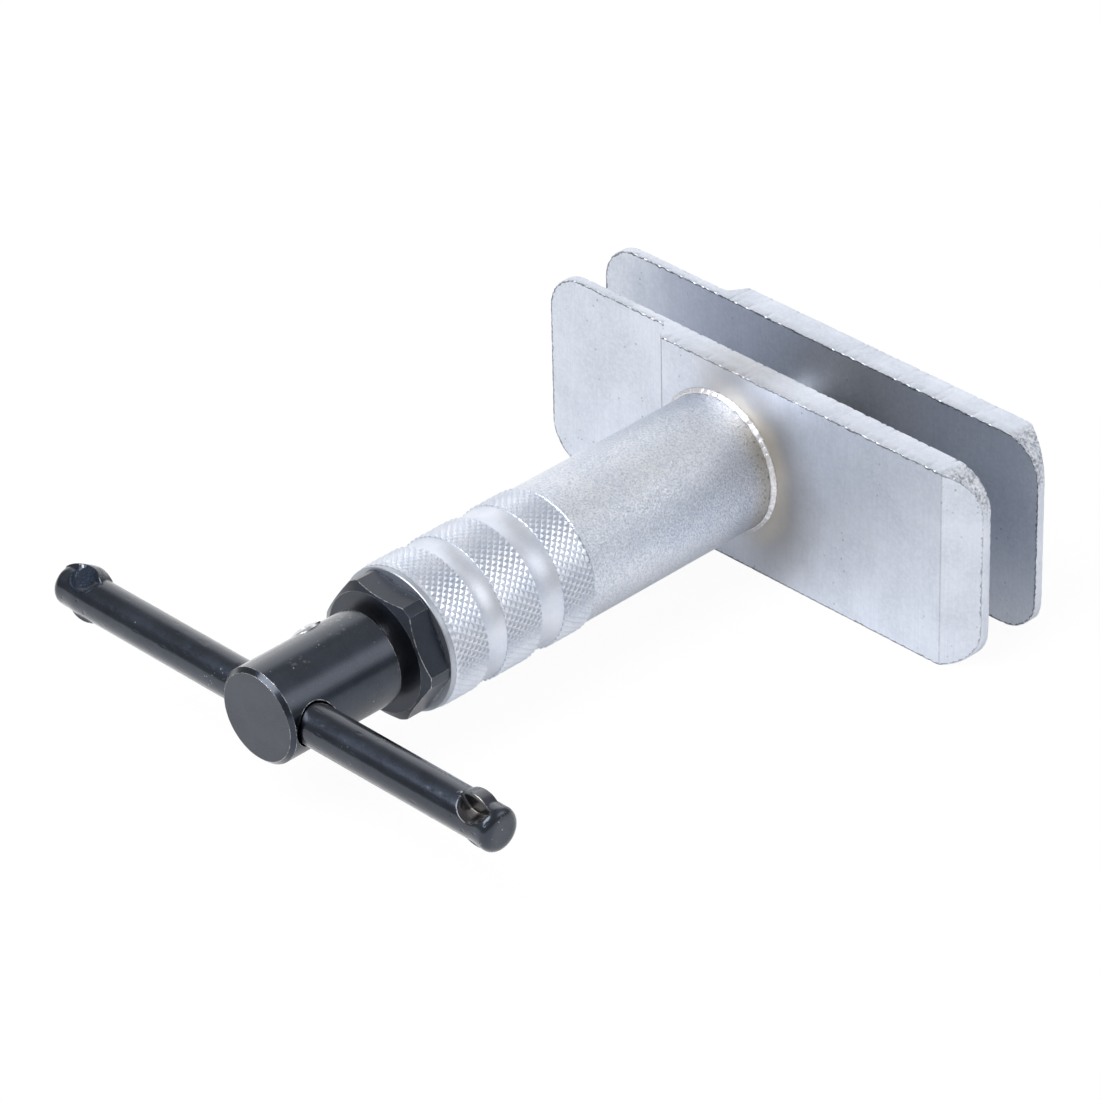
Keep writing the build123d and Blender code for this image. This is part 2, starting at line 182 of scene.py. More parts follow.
class Look:
    """One material, with short ways to add nodes and wires."""

    def __init__(self, name):
        self.material = bpy.data.materials.new(name)
        self.material.use_nodes = True
        self.tree = self.material.node_tree
        self.shader = self.tree.nodes["Principled BSDF"]
        self.place = self.add("ShaderNodeTexCoord").outputs["Object"]

    def add(self, kind, inputs=None, **settings):
        return shader_node(self.tree, kind, inputs, **settings)

    def set(self, key, value):
        wire(self.tree, self.shader.inputs[key], value)

    def stretched(self, scale):
        return self.add("ShaderNodeMapping", {"Vector": self.place, "Scale": scale}).outputs[0]

    def noise(self, scale, detail=4.0, roughness=0.6, stretch=None, distortion=0.0):
        where = self.stretched(stretch) if stretch else self.place
        return self.add("ShaderNodeTexNoise", {
            "Vector": where, "Scale": scale, "Detail": detail,
            "Roughness": roughness, "Distortion": distortion,
        }).outputs["Fac"]

    def dots(self, scale, low, high, peak=1.0):
        """Scattered dots of a peak value, from the distance to random points."""
        inputs = {"Vector": self.place, "Scale": scale}
        cells = self.add("ShaderNodeTexVoronoi", inputs, feature="F1")
        return self.fit(cells.outputs["Distance"], low, high, peak, 0.0)

    def fit(self, value, low, high, to_low=0.0, to_high=1.0):
        return self.add("ShaderNodeMapRange", {
            "Value": value, "From Min": low, "From Max": high,
            "To Min": to_low, "To Max": to_high,
        }, interpolation_type="SMOOTHSTEP").outputs["Result"]

    def math(self, operation, first, second=0.0):
        node = self.add("ShaderNodeMath", {0: first, 1: second}, operation=operation)
        return node.outputs[0]

    def times(self, first, second):
        return self.math("MULTIPLY", first, second)

    def plus(self, first, second):
        return self.math("ADD", first, second)

    def minus(self, first, second):
        return self.math("SUBTRACT", first, second)

    def size(self, value):
        return self.math("ABSOLUTE", value)

    def blend(self, share, first, second):
        node = self.add("ShaderNodeMix", data_type="RGBA")
        sockets = {s.identifier: s for s in node.inputs}
        for key, value in (("Factor_Float", share), ("A_Color", first), ("B_Color", second)):
            wire(self.tree, sockets[key], value)
        return next(s for s in node.outputs if s.identifier == "Result_Color")

    def bump(self, height, distance, strength=1.0):
        inputs = {"Height": height, "Distance": distance, "Strength": strength}
        return self.add("ShaderNodeBump", inputs).outputs["Normal"]

    def axis(self, which):
        split = self.add("ShaderNodeSeparateXYZ", {0: self.place})
        return split.outputs[which]

    def facing(self, which):
        """The surface normal's part along one axis."""
        normal = self.add("ShaderNodeTexCoord").outputs["Normal"]
        return self.add("ShaderNodeSeparateXYZ", {0: normal}).outputs[which]

    def away_from(self, point):
        """Distance from a fixed point."""
        inputs = {0: self.place, 1: point}
        return self.add("ShaderNodeVectorMath", inputs, operation="DISTANCE").outputs["Value"]

    def span(self, first, second):
        """Distance from an axis, from the two coordinates across it."""
        squares = [self.times(value, value) for value in (first, second)]
        return self.math("SQRT", self.plus(*squares))

    def edges(self, radius):
        """1 on sharp edges and 0 on flats, from how far a rounded normal leaves the true one."""
        soft = self.add("ShaderNodeBevel", {"Radius": radius}, samples=6).outputs["Normal"]
        true = self.add("ShaderNodeNewGeometry").outputs["Normal"]
        across = self.add("ShaderNodeVectorMath", {0: soft, 1: true}, operation="DOT_PRODUCT")
        return self.fit(across.outputs["Value"], 0.985, 0.90)

    def metal(self, base, roughness, normal):
        """Wires a metal's colour, roughness and normal, and returns the material."""
        self.set("Base Color", base)
        self.set("Metallic", 1.0)
        self.set("Roughness", roughness)
        self.set("Normal", normal)
        return self.material


def colour(red, green, blue):
    return (red, green, blue, 1.0)


# Materials

ZINC = colour(0.71, 0.75, 0.835)
ZINC_PALE = colour(0.79, 0.825, 0.895)
ZINC_DULL = colour(0.61, 0.65, 0.73)
# Pale zinc for worn edges and torn corners, and also for a painted glint along the sheared outline
ZINC_WORN_AND_GLINT = colour(0.92, 0.93, 0.96)
# Dark grey for pits, scratches, dark lines and worn edges, and also for painted shade along the sheared
# outline
SOOT_AND_SHADE = colour(0.16, 0.17, 0.20)
STRAW = colour(0.73, 0.685, 0.61)


DARK_LINES = ((STEP_CREST[0] + 0.35, 0.75), (BEVEL_START, 0.28))  # place along X in mm, darkness
BURR_SHADOW_INSET = 0.30 * MM
BURR_SHADOW_REACH = (0.10 * MM, 0.24 * MM)
GLINT_REACH = (0.12 * MM, 0.26 * MM)
RAGGED = 1.7 * MM
TORN_X = (66.0 * MM, 70.0 * MM)
TORN_Z = (12.0 * MM, 19.0 * MM)


def outline_inset(look, low, high):
    """How far inside the plate's outline a place lies."""
    away = []
    for which, start, end in (("X", low.x, high.x), ("Z", low.z, high.z)):
        middle, half = (start + end) / 2, (end - start) / 2
        offset = look.size(look.minus(look.axis(which), middle))
        past = look.minus(offset, half - CORNER_RADIUS * MM)
        away.append(look.math("MAXIMUM", past, 0.0))
    return look.minus(CORNER_RADIUS * MM, look.span(*away))


def plate_look(name, low, high, outwards):
    """Zinc-plated sheet: mottled flats, pits, fine scratches, dark lines at the step and the bevel, and a
    ragged sheared outline with a painted burr shadow and a painted glint along it.
    """
    look = Look(name)
    x = look.axis("X")
    clouds = look.noise(70.0, detail=5.0, roughness=0.6)
    mottle = look.noise(1100.0, detail=3.0, roughness=0.65)
    lines = look.noise(2400.0, detail=2.0, stretch=(1.0, 1.0, 0.02))
    grain = look.noise(3600.0, detail=2.0)
    base = look.blend(look.fit(clouds, 0.30, 0.70), ZINC_DULL, ZINC)
    base = look.blend(look.fit(mottle, 0.35, 0.70, 0.0, 0.5), base, ZINC_PALE)
    base = look.blend(look.fit(lines, 0.40, 0.66, 0.0, 0.30), base, ZINC_DULL)
    top = look.fit(look.facing("Z"), 0.6, 0.9)
    patch = look.fit(look.noise(95.0, detail=3.0), 0.50, 0.60)
    flats = look.minus(1.0, top)
    pits = look.times(look.dots(420.0, 0.05, 0.16), patch)
    base = look.blend(look.times(look.times(pits, flats), 0.55), base, SOOT_AND_SHADE)
    strokes = look.noise(300.0, detail=3.0, stretch=(3.0, 3.0, 0.8), distortion=1.5)
    scratch = look.fit(strokes, 0.495, 0.505)
    beside = look.size(look.minus(look.times(scratch, 2.0), 1.0))
    scratch = look.times(look.minus(1.0, beside), look.fit(patch, 0.5, 1.0))
    base = look.blend(look.times(scratch, 0.4), base, SOOT_AND_SHADE)
    outside = look.fit(look.times(look.facing("Y"), outwards), 0.6, 0.9)
    # Dark lines on the outer face along the step's crest and the bevel's start
    for station, darkness in DARK_LINES:
        away = look.size(look.minus(x, station * MM))
        line = look.fit(away, 0.10 * MM, 0.26 * MM, darkness, 0.0)
        line = look.times(line, outside)
        line = look.times(line, look.fit(mottle, 0.3, 0.5, 0.45, 1.0))
        base = look.blend(line, base, SOOT_AND_SHADE)
    ragged = look.minus(look.noise(900.0, detail=4.0, roughness=0.7), 0.5)
    inset = look.plus(outline_inset(look, low, high), look.times(ragged, RAGGED))
    broad = look.fit(look.size(look.facing("Y")), 0.75, 0.9)
    # Painted shade: a dark line just inside the outline on the broad faces, standing for the burr's shadow;
    # painted glint: a pale fringe at the outline itself
    lip_shadow = look.fit(look.size(look.minus(inset, BURR_SHADOW_INSET)), *BURR_SHADOW_REACH, 0.95, 0.0)
    edge_glint = look.fit(inset, *GLINT_REACH, 0.7, 0.0)
    base = look.blend(look.times(edge_glint, broad), base, ZINC_WORN_AND_GLINT)
    base = look.blend(look.times(lip_shadow, broad), base, SOOT_AND_SHADE)
    worn = look.edges(0.5 * MM)
    patchy = look.noise(1500.0, detail=3.0)
    dark = look.times(look.fit(worn, 0.30, 0.75), look.fit(patchy, 0.44, 0.54, 1.0, 0.0))
    light = look.times(look.fit(worn, 0.05, 0.4), look.fit(patchy, 0.50, 0.58))
    base = look.blend(look.times(light, 0.7), base, ZINC_WORN_AND_GLINT)
    base = look.blend(look.times(dark, 0.75), base, SOOT_AND_SHADE)
    corner = look.times(look.fit(x, *TORN_X), look.fit(look.axis("Z"), *TORN_Z))
    corner = look.times(corner, look.fit(look.size(look.facing("Y")), 0.85, 0.6))
    torn = look.noise(1300.0, detail=4.0, roughness=0.7)
    base = look.blend(look.times(corner, look.fit(torn, 0.50, 0.40, 0.0, 0.6)), base, SOOT_AND_SHADE)
    base = look.blend(look.times(corner, look.fit(torn, 0.52, 0.62, 0.0, 0.8)), base, ZINC_WORN_AND_GLINT)
    if outwards < 0:
        base = heat_tint(look, base)
    height = look.plus(look.times(mottle, 0.55), look.times(grain, 0.25))
    height = look.plus(height, look.times(lines, 0.15))
    height = look.minus(height, look.times(look.plus(pits, scratch), 0.4))
    height = look.plus(height, look.times(look.times(torn, corner), 4.0))
    roughness = look.fit(clouds, 0.3, 0.7, 0.49, 0.43)
    return look.metal(base, roughness, look.bump(height, 0.05 * MM, 0.8))


TINT_SIDE = (-4.0 * MM, 16.0 * MM)
TINT_WIDE = (19.0 * MM, 35.0 * MM)
TINT_NEAR = (18.8 * MM, 24.0 * MM)
TINT_UNEVEN = 6.0 * MM


def heat_tint(look, base):
    """Straw and grey tempering colours round the weld, strongest towards +X."""
    x, z = look.axis("X"), look.axis("Z")
    uneven = look.times(look.minus(look.noise(90.0), 0.5), TINT_UNEVEN)
    distance = look.plus(look.span(x, z), uneven)
    side = look.fit(look.plus(x, look.times(z, 0.35)), *TINT_SIDE)
    wide = look.times(look.fit(distance, *TINT_WIDE, 0.85, 0.0), side)
    base = look.blend(wide, base, colour(0.36, 0.350, 0.345))
    near = look.times(look.fit(distance, *TINT_NEAR, 0.75, 0.0), side)
    return look.blend(near, base, STRAW)


SCORCH_LENGTH = 7.5 * MM
SCORCH_SIDE = (4.0 * MM, 15.0 * MM)


def body_look(name):
    """Blasted and plated steel, sparkling through its bump and through painted glint specks in its colour,
    with a scorched patch by the weld.
    """
    look = Look(name)
    grain = look.noise(2100.0, detail=2.0, roughness=0.6)
    fine = look.noise(5200.0, detail=1.0)
    clouds = look.noise(60.0, detail=3.0)
    base = look.blend(look.fit(clouds, 0.3, 0.7), colour(0.67, 0.72, 0.82), colour(0.75, 0.79, 0.87))
    # Painted sparkle: white specks in the grain's colour stand in for glints; the darker specks are grain
    # tone
    base = look.blend(look.fit(grain, 0.52, 0.62, 0.0, 0.60), base, colour(0.97, 0.98, 1.0))
    base = look.blend(look.fit(grain, 0.48, 0.36, 0.0, 0.50), base, colour(0.42, 0.46, 0.54))
    near_weld = look.fit(look.axis("Y"), WELD_STATION - SCORCH_LENGTH, WELD_STATION)
    side = look.fit(look.axis("X"), *SCORCH_SIDE)
    share = look.times(look.times(near_weld, side), look.fit(clouds, 0.25, 0.6, 0.4, 1.0))
    base = look.blend(look.times(share, 0.8), base, colour(0.50, 0.46, 0.39))
    pits = look.dots(800.0, 0.14, 0.34, 0.9)
    base = look.blend(look.times(share, pits), base, colour(0.20, 0.17, 0.13))
    height = look.plus(grain, look.times(fine, 0.35))
    return look.metal(base, 0.28, look.bump(height, 0.22 * MM))


def weld_look(name):
    """Pale grainy weld metal, scorched on its +X side."""
    look = Look(name)
    grain = look.noise(2400.0, detail=3.0, roughness=0.7)
    base = look.blend(look.fit(grain, 0.35, 0.65), colour(0.68, 0.68, 0.71), colour(0.97, 0.965, 0.98))
    side = look.fit(look.axis("X"), 0.0, 15.0 * MM)
    scorched = look.times(look.fit(look.noise(420.0), 0.5, 0.68), side)
    base = look.blend(look.times(scorched, 0.35), base, colour(0.46, 0.41, 0.36))
    return look.metal(base, 0.36, look.bump(grain, 0.12 * MM))


LIP_SHADE = (1.6 * MM, 1.3 * MM)


def grip_look(name):
    """Plated steel, with painted shade on the lip behind the last knurled band."""
    look = Look(name)
    grain = look.noise(2300.0, detail=2.0)
    clouds = look.noise(120.0, detail=3.0)
    base = look.blend(look.fit(clouds, 0.3, 0.7), colour(0.66, 0.705, 0.80), colour(0.76, 0.795, 0.87))
    base = look.blend(look.fit(grain, 0.45, 0.7, 0.0, 0.25), base, colour(0.86, 0.88, 0.92))
    # Painted shade: the plain lip beside the nut is darkened in colour
    lip_shadow = look.fit(look.axis("Y"), *(GRIP_REAR + reach for reach in LIP_SHADE))
    lip_shadow = look.times(lip_shadow, look.fit(grain, 0.3, 0.7, 1.0, 0.8))
    base = look.blend(lip_shadow, base, colour(0.45, 0.48, 0.54))
    return look.metal(base, 0.42, look.bump(grain, 0.06 * MM, 0.9))


# Spots on the drive head where the black is rubbed: middle and reach

RUBBED_PLACES = (
    ((-1.4 * MM, -147.0 * MM, 11.4 * MM), 6.0 * MM),
    ((3.9 * MM, -163.0 * MM, 10.8 * MM), 3.5 * MM),
)


def black_look(name, film=0.17, metal=0.26):
    """Oiled black oxide: dark metal under a clear film, rubbed bright along its edges."""
    look = Look(name)
    clouds = look.noise(140.0, detail=4.0)
    grain = look.noise(2600.0, detail=3.0)
    base = look.blend(look.fit(clouds, 0.3, 0.7), colour(0.010, 0.018, 0.034), colour(0.020, 0.030, 0.052))
    base = look.blend(look.fit(grain, 0.45, 0.75, 0.0, 0.35), base, colour(0.050, 0.056, 0.070))
    scatter = look.noise(260.0, detail=2.0)
    specks = look.times(look.dots(1000.0, 0.08, 0.18), look.fit(scatter, 0.60, 0.68))
    specks = look.times(specks, look.fit(look.facing("Y"), -0.9, -0.7))
    base = look.blend(look.times(specks, 0.8), base, colour(0.62, 0.62, 0.63))
    for place, reach in RUBBED_PLACES:
        near = look.fit(look.away_from(place), reach, 0.3 * reach)
        spots = look.times(look.dots(700.0, 0.20, 0.36), near)
        base = look.blend(look.times(spots, 0.45), base, colour(0.20, 0.185, 0.19))
    patchy = look.fit(look.noise(800.0, detail=3.0), 0.42, 0.56, 0.2, 1.0)
    wear_and_glint = look.times(look.edges(0.32 * MM), patchy)
    base = look.blend(look.times(wear_and_glint, 0.9), base, colour(0.86, 0.86, 0.88))
    look.set("Coat Weight", 1.0)
    look.set("Coat Roughness", film)
    look.set("Coat IOR", 1.48)
    roughness = look.fit(clouds, 0.3, 0.7, metal, metal + 0.08)
    return look.metal(base, roughness, look.bump(grain, 0.02 * MM, 0.6))


def bar_look(name):
    """The same black oxide, with painted highlights along the ridges round the pressed ears and a brown
    bloom in one hollow.
    """
    look = Look(name)
    clouds = look.noise(120.0, detail=4.0)
    grain = look.noise(2600.0, detail=3.0)
    base = look.blend(look.fit(clouds, 0.3, 0.7), colour(0.012, 0.019, 0.034), colour(0.024, 0.033, 0.052))
    specks = look.times(look.dots(900.0, 0.08, 0.18), look.fit(clouds, 0.58, 0.64))
    base = look.blend(look.times(specks, 0.8), base, colour(0.46, 0.46, 0.47))
    bloom = look.fit(look.away_from(BLOOM_PLACE), *BLOOM_REACH, 0.7, 0.0)
    bloom = look.times(bloom, look.fit(grain, 0.3, 0.6, 0.6, 1.0))
    base = look.blend(bloom, base, colour(0.075, 0.062, 0.050))
    # Painted highlight: pale colour on the convex ridges round the ears, away from the end faces
    ridge = look.add("ShaderNodeNewGeometry").outputs["Pointiness"]
    patchy = look.fit(look.noise(500.0, detail=2.0), 0.36, 0.52, 0.3, 1.0)
    wear_and_glint = look.times(look.fit(ridge, 0.525, 0.570), patchy)
    wear_and_glint = look.times(wear_and_glint, look.fit(look.size(look.facing("X")), 0.92, 0.75))
    base = look.blend(look.times(wear_and_glint, 0.55), base, colour(0.60, 0.60, 0.60))
    scar = look.fit(look.away_from(SCAR_PLACE), *SCAR_REACH)
    torn = look.noise(1500.0, detail=4.0, roughness=0.7)
    look.set("Coat Weight", look.fit(scar, 0.0, 1.0, 1.0, 0.35))
    look.set("Coat Roughness", 0.17)
    look.set("Coat IOR", 1.50)
    height = look.plus(grain, look.times(look.times(torn, scar), 12.0))
    roughness = look.fit(clouds, 0.3, 0.7, 0.24, 0.32)
    return look.metal(base, roughness, look.bump(height, 0.015 * MM, 0.8))


def bright_look(name):
    """Ground steel with fine turning rings."""
    look = Look(name)
    rings = look.noise(1200.0, detail=2.0, stretch=(0.1, 1.0, 0.1))
    base = look.blend(look.fit(rings, 0.3, 0.7), colour(0.62, 0.64, 0.67), colour(0.72, 0.735, 0.76))
    return look.metal(base, look.fit(rings, 0.3, 0.7, 0.24, 0.34), look.bump(rings, 0.01 * MM, 0.4))


def rod_look(name):
    """Oiled push rod, dull grey with faint rings."""
    look = Look(name)
    rings = look.noise(1500.0, detail=2.0, stretch=(0.08, 1.0, 0.08))
    film = look.noise(160.0, detail=4.0)
    base = look.blend(look.fit(film, 0.3, 0.7), colour(0.24, 0.25, 0.27), colour(0.36, 0.375, 0.40))
    return look.metal(base, look.fit(film, 0.3, 0.7, 0.24, 0.36), look.bump(rings, 0.01 * MM, 0.5))


def bronze_look(name):
    """Turned bronze."""
    look = Look(name)
    rings = look.noise(900.0, detail=2.0, stretch=(0.15, 1.0, 0.15))
    base = look.blend(look.fit(rings, 0.3, 0.7), colour(0.56, 0.36, 0.16), colour(0.70, 0.50, 0.25))
    return look.metal(base, look.fit(rings, 0.3, 0.7, 0.3, 0.42), look.bump(rings, 0.01 * MM, 0.4))


def rubber_look(name):
    """Dull black rubber."""
    look = Look(name)
    grain = look.noise(1800.0, detail=3.0)
    base = look.blend(look.fit(grain, 0.3, 0.7), colour(0.018, 0.018, 0.019), colour(0.035, 0.035, 0.036))
    look.set("Base Color", base)
    look.set("Roughness", look.fit(grain, 0.3, 0.7, 0.55, 0.75))
    look.set("Normal", look.bump(grain, 0.03 * MM, 0.5))
    return look.material


# Plates

def rounded_corner(before, corner, after, radius, steps):
    """Points of an arc of a radius that joins two straight runs."""
    b, c, a = Vector(before), Vector(corner), Vector(after)
    to_before, to_after = (b - c).normalized(), (a - c).normalized()
    half = to_before.angle(to_after) / 2
    middle = c + (to_before + to_after).normalized() * (radius / sin(half))
    start, end = c + to_before * (radius / tan(half)), c + to_after * (radius / tan(half))
    points = []
    for step in range(steps + 1):
        spoke = (start - middle).lerp(end - middle, step / steps).normalized()
        points.append(tuple(middle + spoke * radius))
    return points


def plate_profile(low_x, high_x):
    """The outer face's height along X, as a list of points."""
    start, end = (low_x, TONGUE), (high_x, BEVEL_EDGE)
    foot, crest, bevel = STEP_FOOT[:2], STEP_CREST[:2], (BEVEL_START, THICK)
    return [
        start,
        *rounded_corner(start, foot, crest, STEP_FOOT[2], 6),
        *rounded_corner(foot, crest, bevel, STEP_CREST[2], 5),
        bevel,
        end,
    ]


def height_at(profile, x):
    """The outer face's height at a place along X."""
    for (x0, h0), (x1, h1) in zip(profile, profile[1:]):
        if x <= x1:
            return h0 + (h1 - h0) * min(max((x - x0) / (x1 - x0), 0.0), 1.0)
    return profile[-1][1]


def plate_outline(low, high, stations):
    """Points round the plate as (x, z, outward x, outward z), in mm; top and bottom share their x."""
    left, right = low[0] + CORNER_RADIUS, high[0] - CORNER_RADIUS
    floor, top = low[1] + CORNER_RADIUS, high[1] - CORNER_RADIUS
    count = round((right - left) / OUTLINE_STEP)
    runs = {round(left + (right - left) * i / count, 4) for i in range(1, count)}
    runs = {x for x in runs if all(abs(x - s) > SEAM_CLEARANCE for s in stations)}
    runs = sorted(runs | {s for s in stations if left < s < right})
    inset = CORNER_RADIUS - EDGE_ROWS[0][0]
    turns = [90 * i / CORNER_STEPS for i in range(CORNER_STEPS + 1)]
    bevel_turn = degrees(asin((BEVEL_START - right) / inset))
    right_turns = sorted([t for t in turns if abs(t - bevel_turn) > 1.0] + [bevel_turn])
    rises = [floor + (top - floor) * i / SIDE_STEPS for i in range(1, SIDE_STEPS)]
    points = [(x, high[1], 0.0, 1.0) for x in runs]

    def corner(x, z, angles, across, up):
        for turn in angles:
            nx, nz = across * sin(radians(turn)), up * cos(radians(turn))
            points.append((x + CORNER_RADIUS * nx, z + CORNER_RADIUS * nz, nx, nz))

    corner(right, top, right_turns, 1, 1)
    points += [(high[0], z, 1.0, 0.0) for z in reversed(rises)]
    corner(right, floor, reversed(right_turns), 1, -1)
    points += [(x, low[1], 0.0, -1.0) for x in reversed(runs)]
    corner(left, floor, turns, -1, -1)
    points += [(low[0], z, -1.0, 0.0) for z in rises]
    corner(left, top, reversed(turns), -1, 1)
    return points


def edge_wear(x, z, seed, run):
    """How far an edge is eaten back at a place, across and down, in mm."""
    rough = 0.05 + 0.10 * ease(z, 15.0, 24.0) + 0.16 * ease(x, 60.0, 70.0) * ease(abs(z), 8.0, 17.0)
    fine = noise.noise(Vector((run * 1.9, seed, 0.0)))
    coarse = noise.noise(Vector((run * 0.7, seed, 5.0)))
    chips = ease(fine * 0.7 + coarse, 0.12, 0.5)
    return rough * (0.3 * abs(fine) + 1.4 * chips), rough * (0.4 * abs(coarse) + 1.2 * chips)


def make_plate(name, low, high, inner_y, outwards, bore):
    """Stepped and bevelled plate with uneven sheared edges; bore runs from the outer face inwards."""
    low, high = (low.x / MM, low.z / MM), (high.x / MM, high.z / MM)
    profile = plate_profile(low[0], high[0])
    stations = [x for x, _ in profile[1:-1]]
    outline = plate_outline(low, high, stations)
    columns = len(outline)
    seed = 3.0 if outwards > 0 else 8.0

    def place(x, z, height):
        return (x * MM, inner_y + outwards * height * MM, z * MM)

    rows = [[] for _ in range(2 * len(EDGE_ROWS) + 2)]
    run = 0.0
    last = outline[-1]
    for point in outline:
        x, z, nx, nz = point
        run += hypot(x - last[0], z - last[1])
        last = point
        column = []
        for side in (0, 1):
            across, down = edge_wear(x, z, seed + 20 * side, run)
            for inset, drop, share_across, share_down in EDGE_ROWS:
                inset, drop = inset + across * share_across, drop + down * share_down
                px, pz = x - nx * inset, z - nz * inset
                top = height_at(profile, px)
                column.append(place(px, pz, top - drop if side else drop))
        thickness = height_at(profile, x)
        middle = [place(x, z, thickness * share) for share in EDGE_MIDDLES]
        column = column[:4] + middle + column[:3:-1]
        for row, vertex in zip(rows, column):
            row.append(vertex)
    vertices = [vertex for row in rows for vertex in row]
    faces = grid_faces(len(rows), columns)

    for side, radius in ((0, bore[-1][0]), (1, bore[0][0])):
        loop = rows[-1] if side else rows[0]
        first = (len(rows) - 1) * columns if side else 0
        flat = [Vector((v[0] / MM, v[2] / MM)) for v in loop]
        ring = [2 * pi * i / HOLE_SIDES for i in range(HOLE_SIDES)]
        flat += [Vector((radius * cos(a), radius * sin(a))) for a in ring]
        edges = [(i, (i + 1) % columns) for i in range(columns)]
        edges += [(columns + i, columns + (i + 1) % HOLE_SIDES) for i in range(HOLE_SIDES)]
        if side:
            for station in stations:
                pair = [i for i in range(columns) if abs(flat[i].x - station) < 0.001]
                if len(pair) == 2:
                    edges.append(tuple(pair))
        spots, _, triangles, sources, _, _ = delaunay_2d_cdt(flat, edges, [], 1, 0.00001)
        names = []
        for spot, source in zip(spots, sources):
            if source and source[0] < columns:
                names.append(first + source[0])
            else:
                names.append(len(vertices))
                height = height_at(profile, spot.x) if side else 0.0
                vertices.append(place(spot.x, spot.y, height))
        for triangle in triangles:
            centre = sum((spots[i] for i in triangle), Vector((0.0, 0.0))) / len(triangle)
            if centre.length > radius * 0.999:
                faces.append(tuple(names[i] for i in triangle))

    first = len(vertices)
    for radius, height in bore:
        for i in range(HOLE_SIDES):
            angle = 2 * pi * i / HOLE_SIDES
            vertices.append(place(radius * cos(angle), radius * sin(angle), height))
    faces += grid_faces(len(bore), HOLE_SIDES, first)
    piece = mesh_piece(name, vertices, faces)
    face_outwards(piece)
    piece.data.set_sharp_from_angle(angle=radians(PLATE_SHARP))
    return piece


# Grip

def band_ends():
    """Front and rear station of each knurled band."""
    front = GRIP_FRONT
    ends = []
    for index, band in enumerate(BANDS):
        rear = front - band
        ends.append((front - (JOINT_GAP + JOINT_CHAMFER if index == 0 else 0.0), rear))
        front = rear - (GROOVES[index] if index < len(GROOVES) else 0.0)
    return ends


def sleeve_rings():
    """The plain sleeve's outline from front to rear, as (y, radius)."""
    front = GRIP_FRONT - JOINT_GAP
    rings = [(front, GRIP_BORE), (front, KNURL_ROOT - JOINT_CHAMFER), (front - JOINT_CHAMFER, KNURL_ROOT)]
    for index, (_, rear) in enumerate(band_ends()):
        rings.append((rear, KNURL_ROOT))
        if index < len(GROOVES):
            for step in range(1, GROOVE_RINGS):
                share = step / GROOVE_RINGS
                sink = GROOVE_DEPTH * (1 - (2 * share - 1) ** 2)
                rings.append((rear - GROOVES[index] * share, KNURL_ROOT - sink))
            rings.append((rear - GROOVES[index], KNURL_ROOT))
    rings.append((GRIP_REAR + LIP_CHAMFER, KNURL_ROOT))
    rings.append((GRIP_REAR, KNURL_ROOT - LIP_CHAMFER))
    rings.append((GRIP_REAR, GRIP_BORE))
    return rings


def clipped(face, limit, side):
    """The part of a face (y, angle, height) before or behind a station, and the points on the cut."""
    kept, cut = [], []
    for here, after in zip(face, face[1:] + face[:1]):
        inside, next_inside = (here[0] - limit) * side >= 0, (after[0] - limit) * side >= 0
        if inside:
            kept.append(here)
        if inside != next_inside:
            share = (limit - here[0]) / (after[0] - here[0])
            spot = tuple(h + (n - h) * share for h, n in zip(here, after))
            kept.append(spot)
            cut.append(spot)
    return kept, cut


def knurl_faces(front, rear):
    """Flat-topped pyramids between two families of crossing helical grooves, cut off at the band's ends."""
    (starts_a, starts_b), (lead_a, lead_b) = KNURL_STARTS, KNURL_LEADS
    scale = 2 * pi / (starts_b * lead_a - starts_a * lead_b)

    def spot(a, b, height):
        y = (starts_b * a - starts_a * b) * scale / (2 * pi)
        angle = (lead_a * b - lead_b * a) * scale
        start = GRIP_REAR + KNURL_RUNOUT_START
        fade = KNURL_LOWEST + (1 - KNURL_LOWEST) * ease(y, start, start + KNURL_RUNOUT)
        return y, angle, height * fade * KNURL_DEPTH

    corners = ((0, 0), (1, 0), (1, 1), (0, 1))
    land = [(0.5 + (x - 0.5) * KNURL_LAND, 0.5 + (y - 0.5) * KNURL_LAND) for x, y in corners]
    faces = []
    reach = round(max(abs(front), abs(rear)) * (abs(lead_a) + abs(lead_b))) + starts_a + starts_b
    for a in range(-reach, reach):
        for b in range(-reach, reach):
            y, angle, _ = spot(a + 0.5, b + 0.5, 0.0)
            if not (rear - KNURL_MARGIN < y < front + KNURL_MARGIN and 0.0 <= angle < 2 * pi):
                continue
            cell = [[spot(a + x, b + z, 1.0) for x, z in land]]
            for side in range(4):
                after = (side + 1) % 4
                low = [spot(a + corners[i][0], b + corners[i][1], 0.0) for i in (side, after)]
                high = [spot(a + land[i][0], b + land[i][1], 1.0) for i in (after, side)]
                cell.append(low + high)
            for face in cell:
                walls = []
                for limit, side in ((rear, 1), (front, -1)):
                    face, cut = clipped(face, limit, side) if face else (face, [])
                    if len(cut) == 2:
                        walls.append(cut + [(y, angle, 0.0) for y, angle, _ in reversed(cut)])
                if len(face) > 2:
                    faces.append(face)
                faces.extend(walls)
    return faces


